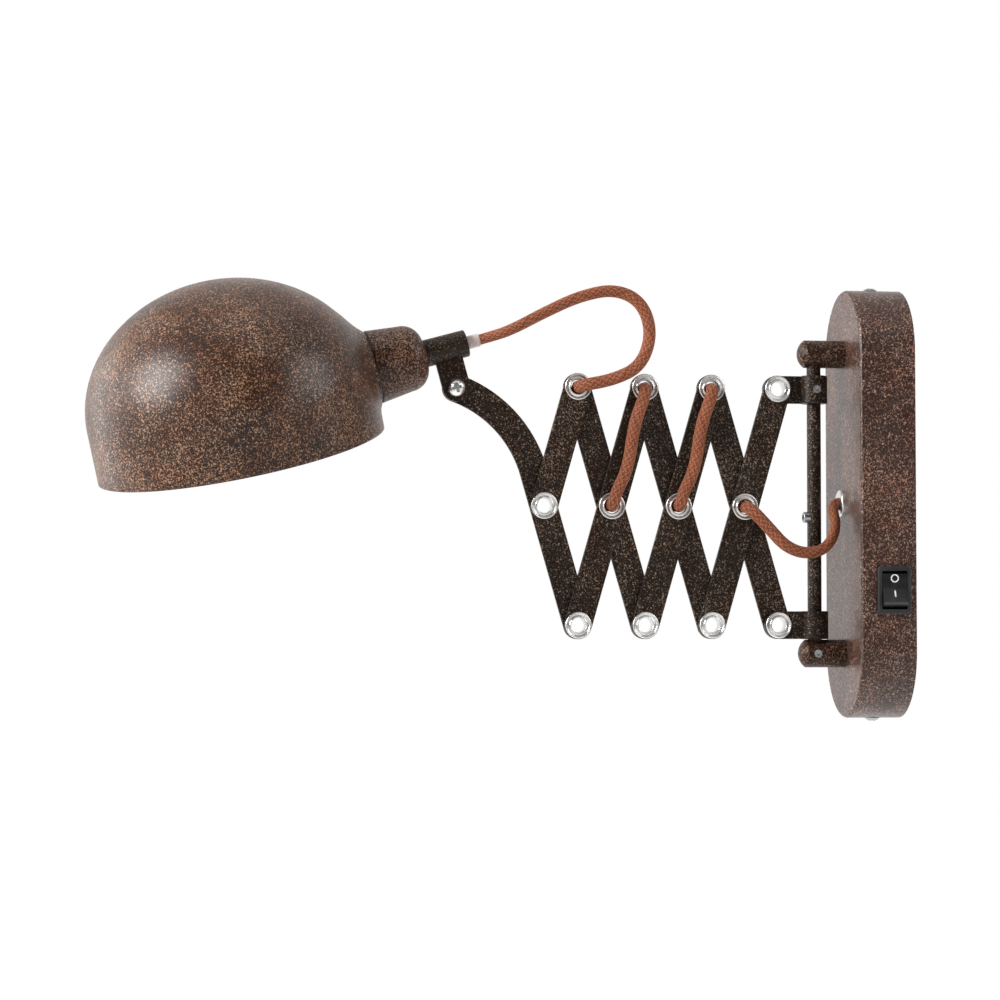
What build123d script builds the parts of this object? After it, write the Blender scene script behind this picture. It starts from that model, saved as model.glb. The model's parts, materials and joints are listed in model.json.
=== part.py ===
from build123d import *
import os
from math import asin, cos, radians, sin, sqrt, tan

# Adjustable scissor-arm wall lamp, in millimetres.
# The wall is the plane Y = 0 and the lamp stands out towards -Y. Z is up, X runs along the wall.
# The origin is the middle of the wall box's back. The arm lies in the plane X = 0.

# Wall box
COVER_HEIGHT = 193.0
COVER_WIDTH = 60.0
COVER_DEPTH = 25.0
COVER_WALL = 1.2
COVER_EDGE_RADIUS = 1.5
COVER_SCREW_DEPTH = 12.0
COVER_SCREW_RADIUS = 1.9
COVER_SCREW_HEAD_RADIUS = 3.5
COVER_SCREW_HEAD_HEIGHT = 1.5
COVER_SCREW_LENGTH = 7.0

# Wall strap behind the box
STRAP_WIDTH = 18.0
STRAP_THICKNESS = 1.5
STRAP_TAB_REACH = 17.0
WALL_HOLE_RADIUS = 2.5
WALL_HOLE_SPACING = 116.0

# Posts and pivot rod
POST_RADIUS = 6.25
POST_LENGTH = 21.0
POST_DOME = 3.2
POST_BOLT_RADIUS = 2.5
POST_BOLT_HEAD_RADIUS = 4.5
POST_BOLT_HEAD_HEIGHT = 3.2
POST_BOLT_GRIP = 8.0
ROD_RADIUS = 3.15
ROD_STANDOFF = 13.4
ROD_SEAT_DEPTH = 3.0
SET_SCREW_RADIUS = 1.75
SET_SCREW_SOCKET = 1.8
SET_SCREW_SOCKET_DEPTH = 1.3
STOP_HEAD_RADIUS = 2.5
STOP_HEAD_PROUD = 2.0
STOP_SOCKET_DEPTH = 1.2
STOP_SEAT_DEPTH = 0.9
STOP_SHANK_RADIUS = 1.25
STOP_SHANK_LENGTH = 3.0

# Collars on the rod
COLLAR_RADIUS = 6.1
COLLAR_HEIGHT = 12.6
COLLAR_REACH = 17.2

# Scissor arm
HALF_LINK = 55.2
LINK_WIDTH = 12.4
LINK_THICKNESS = 2.0
LINK_EDGE_RADIUS = 0.35
LAYER_GAP = 0.3
REST_ANGLE = 16.0
FOLDED_ANGLE = 7.0
EXTENDED_ANGLE = 58.6
CURVED_LINK_RADIUS = 55.0
CURVED_LINK_TURN = 55.0
HEAD_PIVOT_DROP = 1.03

# Eyelets
EYELET_BORE = 3.3
EYELET_BARREL = 4.0
EYELET_FLANGE = 5.9
EYELET_LIP = 0.95
EYELET_SEAT = 0.1

# Head, measured along its own tube axis U, towards the wall, and W, up from it
HEAD_TILT = 15.2
SHADE_RADIUS = 63.8
SHADE_DOME_HEIGHT = 54.8
SHADE_SHOULDER = -3.0
SHADE_SKIRT = 22.8
SHADE_WALL = 1.0
SHADE_LEAN = 11.7
SHADE_PITCH = 2.6
SHADE_AXIS_GAP = 0.15
NECK_RADIUS = 16.4
NECK_FLARE_LENGTH = 17.5
NECK_FLARE_TUCK = 0.27
NECK_FLARE_SAG = 1.4
CUP_LENGTH = 23.4
CUP_STRAIGHT = 14.6
CUP_TAPER = 1.7
CUP_WALL = 1.0
TUBE_RADIUS = 6.05
TUBE_LENGTH = 19.4
LUG_WIDTH = 12.3
LUG_DROP = 18.1
LUG_THICKNESS = 2.2
KNUCKLE_SCREW_RADIUS = 2.0
KNUCKLE_HEAD_RADIUS = 3.9
KNUCKLE_HEAD_HEIGHT = 2.3
KNUCKLE_WASHER_RADIUS = 4.5
KNUCKLE_WASHER_THICKNESS = 0.8
KNUCKLE_NUT_WIDTH = 7.0
KNUCKLE_NUT_HEIGHT = 3.2
NIPPLE_RADIUS = 5.0
NIPPLE_BORE = 3.7
NIPPLE_IN_HOLDER = 6.0
NIPPLE_IN_TUBE = 8.0
NIPPLE_NUT_WIDTH = 12.0
NIPPLE_NUT_HEIGHT = 3.0
HOLDER_RADIUS = 12.0
HOLDER_FLANGE_RADIUS = 15.6
HOLDER_FLANGE_THICKNESS = 0.8
HOLDER_REACH = 22.0
HOLDER_TAIL = 18.0
SOCKET_BORE = 7.0
SOCKET_SHELL_WALL = 0.4
SOCKET_DEPTH = 20.0
CONTACT_RADIUS = 2.5
CONTACT_HEIGHT = 1.5
RING_RADIUS = 15.0
RING_LENGTH = 4.0
SLEEVE_WALL = 0.45
SLEEVE_PROUD = 5.8
SLEEVE_INSIDE = 10.0

# Cord and wires
CORD_DIAMETER = 5.0
CORD_EXIT_RADIUS = 5.0
CORD_LEAD = 13.0
STRAND_CLEARANCE = 0.5
WIRE_DIAMETER = 1.9
WIRE_BEND = 5.0
WIRE_SPREAD = 1.15

# Gland
GLAND_RADIUS = 6.15
GLAND_PROUD = 2.2
GLAND_EDGE_RADIUS = 0.9
GLAND_SHANK_RADIUS = 5.0
GLAND_SHANK_LENGTH = 6.0
GLAND_NUT_WIDTH = 14.0
GLAND_NUT_HEIGHT = 2.5
GRIP_RADIUS = 4.6
GRIP_LENGTH = 4.0
CORD_TAIL_END = 11.0

# Rocker switch on the +X side of the box
SWITCH_DROP = 39.3
SWITCH_FROM_WALL = 10.5
BEZEL_HEIGHT = 21.0
BEZEL_WIDTH = 15.0
BEZEL_PROUD = 2.0
BEZEL_CORNER_RADIUS = 1.0
SWITCH_BODY_HEIGHT = 19.0
SWITCH_BODY_WIDTH = 13.0
SWITCH_BODY_DEPTH = 12.0
ROCKER_WIDTH = 11.0
ROCKER_SWEEP_RADIUS = 8.2
ROCKER_THROW = 10.0
ROCKER_PIVOT_DEPTH = 4.0
ROCKER_KEEL = 3.0
ROCKER_CLEARANCE = 0.25
ROCKER_PIN_RADIUS = 1.0
ROCKER_PIN_LENGTH = 0.55
TAB_WIDTH = 4.8
TAB_THICKNESS = 0.8
TAB_LENGTH = 7.0
TAB_SPACING = 9.0

# Terminal block
BLOCK_WIDTH = 20.0
BLOCK_DEPTH = 12.0
BLOCK_HEIGHT = 26.0
BLOCK_RISE = 14.0
CLAMP_SPACING = 10.0
CLAMP_RADIUS = 2.8
CLAMP_BORE = 1.8
CLAMP_SCREW_RADIUS = 1.5
EARTH_SCREW_RADIUS = 2.0
EARTH_HEAD_RADIUS = 3.5
EARTH_HEAD_HEIGHT = 2.4
EARTH_SCREW_DROP = 22.0

# Clearances
RUNNING = 0.08
FIT = 0.05
THRUST = 0.2
EDGE = 0.25
SOFT_EDGE = 0.5

# Layers of the arm along X
FRONT_LAYER = LAYER_GAP / 2
BACK_LAYER = -LAYER_GAP / 2 - LINK_THICKNESS
OUTER_FACE = LAYER_GAP / 2 + LINK_THICKNESS
FLANGE_SEAT = OUTER_FACE + EYELET_SEAT
FLANGE_TOP = FLANGE_SEAT + EYELET_LIP
PIVOT_HOLE = EYELET_BARREL + RUNNING

# Heights on the rod: the posts leave just the travel that folding needs
COVER_FACE = -COVER_DEPTH
ROD_Y = COVER_FACE - ROD_STANDOFF
LINK_LENGTH = 2 * HALF_LINK
POST_SPACING = (
    LINK_LENGTH * cos(radians(FOLDED_ANGLE)) + COLLAR_HEIGHT + 2 * POST_RADIUS + 2 * THRUST
)
LOWER_COLLAR_Z = -POST_SPACING / 2 + POST_RADIUS + THRUST + COLLAR_HEIGHT / 2
UPPER_COLLAR_Z = LOWER_COLLAR_Z + LINK_LENGTH * cos(radians(REST_ANGLE))
STOP_Z = (
    LOWER_COLLAR_Z + LINK_LENGTH * cos(radians(EXTENDED_ANGLE))
    - COLLAR_HEIGHT / 2 - STOP_HEAD_RADIUS - THRUST
)

# Pivots of the arm at rest, as (Y, Z). Row 4 is at the wall, row 1 at the head.
ARM_Y = ROD_Y - COLLAR_REACH
STEP = LINK_LENGTH * sin(radians(REST_ANGLE))
MIDDLE_Z = (LOWER_COLLAR_Z + UPPER_COLLAR_Z) / 2
TOP = {row: (ARM_Y - (4 - row) * STEP, UPPER_COLLAR_Z) for row in (1, 2, 3, 4)}
BOTTOM = {row: (ARM_Y - (4 - row) * STEP, LOWER_COLLAR_Z) for row in (1, 2, 3, 4)}
MIDDLE = {row: (ARM_Y - (4.5 - row) * STEP, MIDDLE_Z) for row in (1, 2, 3, 4)}

# The curved link leaves the scissor at MIDDLE 1, runs straight, then bends to the head pivot,
# which is level with the top row
BEND_END_ANGLE = REST_ANGLE + CURVED_LINK_TURN
BEND_RISE = CURVED_LINK_RADIUS * (sin(radians(BEND_END_ANGLE)) - sin(radians(REST_ANGLE)))
CURVED_LINK_STRAIGHT = (
    (UPPER_COLLAR_Z - HEAD_PIVOT_DROP - MIDDLE_Z - BEND_RISE) / cos(radians(REST_ANGLE))
)
BEND_START = (
    MIDDLE[1][0] - CURVED_LINK_STRAIGHT * sin(radians(REST_ANGLE)),
    MIDDLE[1][1] + CURVED_LINK_STRAIGHT * cos(radians(REST_ANGLE)),
)
BEND_CENTRE = (
    BEND_START[0] - CURVED_LINK_RADIUS * cos(radians(REST_ANGLE)),
    BEND_START[1] - CURVED_LINK_RADIUS * sin(radians(REST_ANGLE)),
)
HEAD_PIVOT = (
    BEND_CENTRE[0] + CURVED_LINK_RADIUS * cos(radians(BEND_END_ANGLE)),
    BEND_CENTRE[1] + CURVED_LINK_RADIUS * sin(radians(BEND_END_ANGLE)),
)

# Stations along the head's tube axis, from the shade's neck at 0 towards the wall
CUP_START = HOLDER_FLANGE_THICKNESS
CUP_END = CUP_START + CUP_LENGTH
TUBE_START = CUP_END
TUBE_END = TUBE_START + TUBE_LENGTH
PIVOT_U = (TUBE_START + TUBE_END) / 2
SLEEVE_END = TUBE_END + SLEEVE_PROUD
SLEEVE_RADIUS = CORD_DIAMETER / 2 + FIT + SLEEVE_WALL
SHADE_AXIS_U = -SHADE_RADIUS - SHADE_AXIS_GAP
RIM_W = SHADE_SHOULDER - SHADE_SKIRT
FLARE_FOOT = -SHADE_AXIS_U - NECK_FLARE_LENGTH
FLARE_FOOT_W = (
    SHADE_SHOULDER + SHADE_DOME_HEIGHT * sqrt(1 - (FLARE_FOOT / SHADE_RADIUS) ** 2) - NECK_FLARE_TUCK
)
NECK_FLARE_U = FLARE_FOOT_W * sin(radians(SHADE_PITCH)) - NECK_FLARE_LENGTH * cos(radians(SHADE_PITCH))
NECK_FLARE_RADIUS = (
    FLARE_FOOT_W * cos(radians(SHADE_PITCH)) + NECK_FLARE_LENGTH * sin(radians(SHADE_PITCH))
)
HEAD_ORIGIN = (
    HEAD_PIVOT[0] - PIVOT_U * cos(radians(HEAD_TILT)) - LUG_DROP * sin(radians(HEAD_TILT)),
    HEAD_PIVOT[1] - PIVOT_U * sin(radians(HEAD_TILT)) + LUG_DROP * cos(radians(HEAD_TILT)),
)
HEAD_PLACE = Pos(0, *HEAD_ORIGIN) * Rot(HEAD_TILT, 0, 0)

os.makedirs("parts", exist_ok=True)


def save(node, *solids):
    """Write one node, a single solid or a group of separate ones."""
    flat = [solid for shape in solids for solid in shape.solids()]
    shape = flat[0] if len(flat) == 1 else Compound(children=flat)
    export_step(shape, f"parts/{node}.step")


def along_x(radius, x0, x1, y=0.0, z=0.0):
    return Pos((x0 + x1) / 2, y, z) * Rot(0, 90, 0) * Cylinder(radius, abs(x1 - x0))


def along_y(radius, y0, y1, x=0.0, z=0.0):
    return Pos(x, (y0 + y1) / 2, z) * Rot(90, 0, 0) * Cylinder(radius, abs(y1 - y0))


def along_z(radius, z0, z1, x=0.0, y=0.0):
    return Pos(x, y, (z0 + z1) / 2) * Cylinder(radius, abs(z1 - z0))


def block(x0, x1, y0, y1, z0, z1):
    size = Box(abs(x1 - x0), abs(y1 - y0), abs(z1 - z0))
    return Pos((x0 + x1) / 2, (y0 + y1) / 2, (z0 + z1) / 2) * size


def hexagon_along_x(width, x0, x1, y=0.0, z=0.0):
    outline = Plane.YZ.offset(min(x0, x1)) * Pos(y, z) * RegularPolygon(width / 2, 6, major_radius=False)
    return extrude(outline, abs(x1 - x0))


def hexagon_along_y(width, y0, y1, x=0.0, z=0.0):
    outline = Plane.XZ.offset(-max(y0, y1)) * Pos(x, z) * RegularPolygon(width / 2, 6, major_radius=False)
    return extrude(outline, abs(y1 - y0))


def turned(profile_points):
    """Turn a closed outline of (along, radius) points about X."""
    return revolve(make_face(Polyline(*profile_points, close=True)), Axis.X)


def turned_lines(*lines):
    """Turn a closed outline of joined lines and arcs about X."""
    return revolve(make_face(Wire([edge for line in lines for edge in line.edges()])), Axis.X)


def dome_arc(base, radius, height):
    """Round crown from the rim at (base, radius) to its top on the axis."""
    sphere = (radius**2 + height**2) / (2 * height)
    centre = base + height - sphere
    half = asin(radius / sphere) / 2
    middle = (centre + sphere * cos(half), sphere * sin(half))
    return ThreePointArc((base, radius), middle, (base + height, 0))


def arm_plane(x):
    return Plane.YZ.offset(x)


# Wall box


def box_outline(inset):
    return Rot(0, 0, 90) * SlotOverall(COVER_HEIGHT - 2 * inset, COVER_WIDTH - 2 * inset)


def wall_cover():
    shell = extrude(Plane.XZ * box_outline(0), COVER_DEPTH)
    shell = fillet(shell.faces().sort_by(Axis.Y)[0].edges(), COVER_EDGE_RADIUS)
    shell -= extrude(Plane.XZ * box_outline(COVER_WALL), COVER_DEPTH - COVER_WALL)
    through = COVER_DEPTH + 1
    for side in (-1, 1):
        shell -= along_y(POST_BOLT_RADIUS + FIT, -through, -COVER_DEPTH / 2, z=side * POST_SPACING / 2)
        end = COVER_HEIGHT / 2
        inside = end - 2 * COVER_WALL
        hole = COVER_SCREW_RADIUS + 4 * FIT
        shell -= along_z(hole, side * inside, side * (end + 1), y=-COVER_SCREW_DEPTH)
    shell -= along_y(GLAND_SHANK_RADIUS + FIT, -through, -COVER_DEPTH / 2)
    shell -= block(
        COVER_WIDTH / 2 - 2 * COVER_WALL, COVER_WIDTH / 2 + 1,
        -SWITCH_FROM_WALL - SWITCH_BODY_WIDTH / 2 - FIT, -SWITCH_FROM_WALL + SWITCH_BODY_WIDTH / 2 + FIT,
        -SWITCH_DROP - SWITCH_BODY_HEIGHT / 2 - FIT, -SWITCH_DROP + SWITCH_BODY_HEIGHT / 2 + FIT,
    )
    return shell


def wall_strap():
    """Flat strip on the wall with a tab bent out at each end, inside the box's ends."""
    half = STRAP_WIDTH / 2
    end = COVER_HEIGHT / 2
    strap = block(-half, half, -STRAP_THICKNESS, 0, -end, end)
    bent = block(-half, half, -STRAP_TAB_REACH, 0, -end, end)
    inner = end - COVER_WALL - EDGE - 2 * STRAP_THICKNESS
    bent -= block(-half - 1, half + 1, -STRAP_TAB_REACH - 1, 1, -inner, inner)
    strap += bent
    room = extrude(Plane.XZ * box_outline(COVER_WALL + EDGE), STRAP_TAB_REACH)
    strap = strap & room
    for side in (-1, 1):
        strap -= along_y(WALL_HOLE_RADIUS, -2 * STRAP_THICKNESS, 1, z=side * WALL_HOLE_SPACING / 2)
        strap -= along_z(
            COVER_SCREW_RADIUS + FIT, side * (inner - 1), side * (end + 1), y=-COVER_SCREW_DEPTH
        )
    strap -= along_y(EARTH_SCREW_RADIUS + FIT, -2 * STRAP_THICKNESS, 1, z=-EARTH_SCREW_DROP)
    return strap


def domed_head(radius, height, shank_radius, shank_length):
    """Screw along X: a domed head above X = 0 with a cross recess, and a shank below."""
    dome = turned_lines(dome_arc(0, radius, height), Polyline((height, 0), (0, 0), (0, radius)))
    slot = 0.18 * radius
    depth = 0.55 * height
    for cut in (Box(2 * depth, 2 * slot, 1.15 * radius), Box(2 * depth, 1.15 * radius, 2 * slot)):
        dome -= Pos(height, 0, 0) * cut
    return dome + along_x(shank_radius, -shank_length, 0)


def cover_screws():
    screw = domed_head(
        COVER_SCREW_HEAD_RADIUS, COVER_SCREW_HEAD_HEIGHT, COVER_SCREW_RADIUS, COVER_SCREW_LENGTH
    )
    top = COVER_HEIGHT / 2
    upper = Pos(0, -COVER_SCREW_DEPTH, top) * Rot(0, -90, 0) * screw
    lower = Pos(0, -COVER_SCREW_DEPTH, -top) * Rot(0, 90, 0) * screw
    return upper, lower


# Posts and rod


def post(side):
    """Post on the box's face, with a domed tip and a socket for the rod."""
    z = side * POST_SPACING / 2
    shoulder = POST_LENGTH - POST_DOME
    bar = turned_lines(
        dome_arc(shoulder, POST_RADIUS, POST_DOME),
        Polyline((POST_LENGTH, 0), (0, 0), (0, POST_RADIUS), (shoulder, POST_RADIUS)),
    )
    bar = Pos(0, COVER_FACE, z) * Rot(0, 0, -90) * bar
    deep = z + side * (ROD_SEAT_DEPTH + FIT)
    bar -= along_z(ROD_RADIUS + FIT, z - side * (POST_RADIUS + 1), deep, y=ROD_Y)
    bar -= along_y(POST_BOLT_RADIUS + FIT, COVER_FACE - POST_BOLT_GRIP - SOFT_EDGE, COVER_FACE + 1, z=z)
    if side < 0:
        bar -= along_x(SET_SCREW_RADIUS + FIT, 0, POST_RADIUS + 1, y=ROD_Y, z=z)
    return bar


def post_bolts():
    bolts = []
    inner = COVER_FACE + COVER_WALL
    for side in (-1, 1):
        z = side * POST_SPACING / 2
        head = along_y(POST_BOLT_HEAD_RADIUS, inner, inner + POST_BOLT_HEAD_HEIGHT, z=z)
        head -= hexagon_along_y(POST_BOLT_HEAD_RADIUS, inner + 1, inner + POST_BOLT_HEAD_HEIGHT + 1, z=z)
        bolts.append(head + along_y(POST_BOLT_RADIUS, COVER_FACE - POST_BOLT_GRIP, inner, z=z))
    return bolts


def pivot_rod():
    reach = POST_SPACING / 2 + ROD_SEAT_DEPTH
    rod = along_z(ROD_RADIUS, -reach, reach, y=ROD_Y)
    seat = ROD_Y - ROD_RADIUS + STOP_SEAT_DEPTH
    rod -= along_y(STOP_HEAD_RADIUS + FIT, seat, seat - 2 * STOP_SEAT_DEPTH, z=STOP_Z)
    rod -= along_y(STOP_SHANK_RADIUS + FIT, seat + STOP_SHANK_LENGTH + FIT, seat - 1, z=STOP_Z)
    return rod


def set_screw(z, face_radius):
    """Socket set screw along X, from the rod to just under the outer face."""
    inner = ROD_RADIUS + FIT
    outer = face_radius - FIT
    screw = along_x(SET_SCREW_RADIUS, inner, outer, y=ROD_Y, z=z)
    return screw - hexagon_along_x(SET_SCREW_SOCKET, outer - SET_SCREW_SOCKET_DEPTH, outer + 1, ROD_Y, z)


def stop_screw():
    """Screw in the rod that stops the upper collar at full reach."""
    seat = ROD_Y - ROD_RADIUS + STOP_SEAT_DEPTH
    tip = ROD_Y - ROD_RADIUS - STOP_HEAD_PROUD
    screw = along_y(STOP_HEAD_RADIUS, seat, tip, z=STOP_Z)
    screw = fillet(screw.edges().sort_by(Axis.Y)[0], SOFT_EDGE)
    screw -= hexagon_along_y(STOP_HEAD_RADIUS, tip - 1, tip + STOP_SOCKET_DEPTH, z=STOP_Z)
    return screw + along_y(STOP_SHANK_RADIUS, seat, seat + STOP_SHANK_LENGTH, z=STOP_Z)


# Cord gland


def cord_gland():
    """Ring on the box's face with a rounded mouth and a threaded shank through the wall."""
    mouth = COVER_FACE - GLAND_PROUD
    ring = along_y(GLAND_RADIUS, mouth, COVER_FACE)
    ring = fillet(ring.edges().sort_by(Axis.Y)[0], GLAND_EDGE_RADIUS)
    ring += along_y(GLAND_SHANK_RADIUS, COVER_FACE, COVER_FACE + GLAND_SHANK_LENGTH)
    ring -= along_y(CORD_DIAMETER / 2 + 4 * FIT, mouth - 1, COVER_FACE + GLAND_SHANK_LENGTH + 1)
    return ring


def gland_nut():
    inner = COVER_FACE + COVER_WALL
    nut = hexagon_along_y(GLAND_NUT_WIDTH, inner, inner + GLAND_NUT_HEIGHT)
    return nut - along_y(GLAND_SHANK_RADIUS + FIT, inner - 1, inner + GLAND_NUT_HEIGHT + 1)


def cord_grip():
    """Nylon ring that grips the cord behind the gland."""
    start = COVER_FACE + GLAND_SHANK_LENGTH
    grip = along_y(GRIP_RADIUS, start, start + GRIP_LENGTH)
    return grip - along_y(CORD_DIAMETER / 2 + FIT, start - 1, start + GRIP_LENGTH + 1)


# Rocker switch


def switch_point(depth=0.0):
    """Point on the switch's centre line, so far out of the box's side."""
    return COVER_WIDTH / 2 + depth, -SWITCH_FROM_WALL, -SWITCH_DROP


def switch_box(depth0, depth1, width, height):
    face, y, z = switch_point()
    return block(face + depth0, face + depth1, y - width / 2, y + width / 2, z - height / 2, z + height / 2)


def switch_housing():
    pivot = BEZEL_PROUD - ROCKER_PIVOT_DEPTH
    floor = pivot - ROCKER_SWEEP_RADIUS - ROCKER_CLEARANCE
    opening_width = ROCKER_WIDTH + 2 * ROCKER_CLEARANCE
    opening_height = 2 * (ROCKER_SWEEP_RADIUS + ROCKER_CLEARANCE)
    bezel = switch_box(0, BEZEL_PROUD, BEZEL_WIDTH, BEZEL_HEIGHT)
    bezel = fillet(bezel.edges().filter_by(Axis.X), BEZEL_CORNER_RADIUS)
    bezel = fillet(bezel.faces().sort_by(Axis.X)[-1].edges(), SOFT_EDGE)
    housing = bezel + switch_box(-SWITCH_BODY_DEPTH, 0, SWITCH_BODY_WIDTH, SWITCH_BODY_HEIGHT)
    housing -= switch_box(floor, BEZEL_PROUD + 1, opening_width, opening_height)
    face, y, z = switch_point(pivot)
    housing -= along_y(
        ROCKER_PIN_RADIUS + RUNNING, y - SWITCH_BODY_WIDTH / 2 - 1, y + SWITCH_BODY_WIDTH / 2 + 1, face, z
    )
    return housing


def switch_rocker():
    """Rocker with two flat faces, its upper end pressed in."""
    x, y, z = switch_point(BEZEL_PROUD - ROCKER_PIVOT_DEPTH)
    reach = ROCKER_SWEEP_RADIUS + 1
    rise = ROCKER_PIVOT_DEPTH + reach * tan(radians(ROCKER_THROW))
    side_view = Polyline(
        (-ROCKER_KEEL, -reach), (rise, -reach), (ROCKER_PIVOT_DEPTH, 0), (rise, reach), (-ROCKER_KEEL, reach),
        close=True,
    )
    blank = extrude(Plane.XZ.offset(-ROCKER_WIDTH / 2) * make_face(side_view), ROCKER_WIDTH)
    rocker = blank & along_y(ROCKER_SWEEP_RADIUS, -ROCKER_WIDTH, ROCKER_WIDTH)
    pin_reach = ROCKER_WIDTH / 2 + ROCKER_CLEARANCE + ROCKER_PIN_LENGTH
    rocker += along_y(ROCKER_PIN_RADIUS, -pin_reach, pin_reach)
    return Pos(x, y, z) * Rot(0, -ROCKER_THROW, 0) * rocker


def tab_heights():
    return [-SWITCH_DROP + side * TAB_SPACING / 2 for side in (-1, 1)]


def switch_terminals():
    back = COVER_WIDTH / 2 - SWITCH_BODY_DEPTH
    y = -SWITCH_FROM_WALL
    return [
        block(
            back - TAB_LENGTH, back, y - TAB_WIDTH / 2, y + TAB_WIDTH / 2,
            z - TAB_THICKNESS / 2, z + TAB_THICKNESS / 2,
        )
        for z in tab_heights()
    ]


# Terminal block on the strap


def clamp_places():
    y = -STRAP_THICKNESS - BLOCK_DEPTH / 2
    return [(side * CLAMP_SPACING / 2, y) for side in (-1, 1)]


def clamp_screw_heights():
    return [BLOCK_RISE + BLOCK_HEIGHT * share for share in (0.25, 0.75)]


def terminal_block():
    front = -STRAP_THICKNESS - BLOCK_DEPTH
    top = BLOCK_RISE + BLOCK_HEIGHT
    body = block(-BLOCK_WIDTH / 2, BLOCK_WIDTH / 2, front, -STRAP_THICKNESS, BLOCK_RISE, top)
    for x, y in clamp_places():
        body -= along_z(CLAMP_RADIUS + FIT, BLOCK_RISE - 1, top + 1, x, y)
        for z in clamp_screw_heights():
            body -= along_y(CLAMP_SCREW_RADIUS + 4 * FIT, front - 1, y, x, z)
    return body


def terminal_clamps():
    clamps = []
    for x, y in clamp_places():
        clamp = along_z(CLAMP_RADIUS, BLOCK_RISE + 1, BLOCK_RISE + BLOCK_HEIGHT - 1, x, y)
        clamp -= along_z(CLAMP_BORE, BLOCK_RISE, BLOCK_RISE + BLOCK_HEIGHT, x, y)
        for z in clamp_screw_heights():
            clamp -= along_y(CLAMP_SCREW_RADIUS + FIT, y - CLAMP_RADIUS - 1, y, x, z)
        clamps.append(clamp)
    return clamps


def terminal_screws():
    front = -STRAP_THICKNESS - BLOCK_DEPTH + SOFT_EDGE
    screws = []
    for x, y in clamp_places():
        for z in clamp_screw_heights():
            screw = along_y(CLAMP_SCREW_RADIUS, front, y - WIRE_DIAMETER / 2 - FIT, x, z)
            screw -= block(x - 2, x + 2, front - 1, front + 0.7, z - 0.3, z + 0.3)
            screws.append(screw)
    return screws


def earth_screw():
    seat = -STRAP_THICKNESS
    head = along_y(EARTH_HEAD_RADIUS, seat - EARTH_HEAD_HEIGHT, seat, z=-EARTH_SCREW_DROP)
    head -= block(-0.5, 0.5, seat - EARTH_HEAD_HEIGHT - 1, seat - 1.2, -EARTH_SCREW_DROP - 5, 0)
    return head + along_y(EARTH_SCREW_RADIUS, seat, 0, z=-EARTH_SCREW_DROP)


# Arm


def bar_outline(end_a, end_b, holes):
    """Flat link between two pivots, with round ends and a hole at each pivot."""
    across = Vector(end_b[0] - end_a[0], end_b[1] - end_a[1])
    middle = ((end_a[0] + end_b[0]) / 2, (end_a[1] + end_b[1]) / 2)
    angle = across.get_signed_angle(Vector(1, 0), Vector(0, 0, -1))
    outline = Pos(*middle) * Rot(0, 0, angle) * SlotCenterToCenter(across.length, LINK_WIDTH)
    for hole in holes:
        outline -= Pos(*hole) * Circle(PIVOT_HOLE)
    return outline


def flat_link(outline, layer):
    plate = extrude(arm_plane(layer) * outline, LINK_THICKNESS)
    rims = [face.outer_wire().edges() for face in plate.faces().filter_by(Axis.X)]
    return fillet([edge for rim in rims for edge in rim], LINK_EDGE_RADIUS)


def front_link(row):
    """Link leaning to the wall. The one at the head is a half link."""
    if row == 1:
        outline = bar_outline(MIDDLE[1], TOP[1], (MIDDLE[1], TOP[1]))
    else:
        outline = bar_outline(BOTTOM[row - 1], TOP[row], (BOTTOM[row - 1], MIDDLE[row], TOP[row]))
    return flat_link(outline, FRONT_LAYER)


def back_link(row):
    outline = bar_outline(TOP[row - 1], BOTTOM[row], (TOP[row - 1], MIDDLE[row], BOTTOM[row]))
    return flat_link(outline, BACK_LAYER)


def curved_link():
    """Link that carries the head: straight through the scissor, then bent up and out."""
    outline = bar_outline(BOTTOM[1], BEND_START, ())
    bend = CenterArc(BEND_CENTRE, CURVED_LINK_RADIUS, REST_ANGLE, CURVED_LINK_TURN)
    outline += SlotArc(bend, LINK_WIDTH)
    for hole in (BOTTOM[1], MIDDLE[1]):
        outline -= Pos(*hole) * Circle(PIVOT_HOLE)
    outline -= Pos(*HEAD_PIVOT) * Circle(KNUCKLE_SCREW_RADIUS + RUNNING)
    return flat_link(outline, BACK_LAYER)


def eyelet(place):
    """Hollow rivet along X with a rolled rim, a groove and an inner lip on both faces."""
    seat = FLANGE_SEAT
    groove = (EYELET_BARREL + EYELET_FLANGE) / 2
    lip = EYELET_LIP
    outline = [
        Line((0, EYELET_BORE), (seat + 0.35 * lip, EYELET_BORE)),
        ThreePointArc(
            (seat + 0.35 * lip, EYELET_BORE),
            (seat + 0.85 * lip, EYELET_BORE + 0.3 * lip),
            (seat + 0.6 * lip, EYELET_BORE + 0.75 * lip),
        ),
        ThreePointArc(
            (seat + 0.6 * lip, EYELET_BORE + 0.75 * lip),
            (seat + 0.4 * lip, groove - 0.3 * lip),
            (seat + 0.75 * lip, EYELET_FLANGE - 0.9 * lip),
        ),
        ThreePointArc(
            (seat + 0.75 * lip, EYELET_FLANGE - 0.9 * lip),
            (seat + lip, EYELET_FLANGE - 0.5 * lip),
            (seat + 0.4 * lip, EYELET_FLANGE),
        ),
        Polyline(
            (seat + 0.4 * lip, EYELET_FLANGE), (seat, EYELET_FLANGE - 0.2 * lip),
            (seat, EYELET_BARREL), (0, EYELET_BARREL), (0, EYELET_BORE),
        ),
    ]
    barrel = turned_lines(*outline)
    barrel += mirror(barrel, about=Plane.YZ)
    return Pos(0, *place) * barrel


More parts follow.
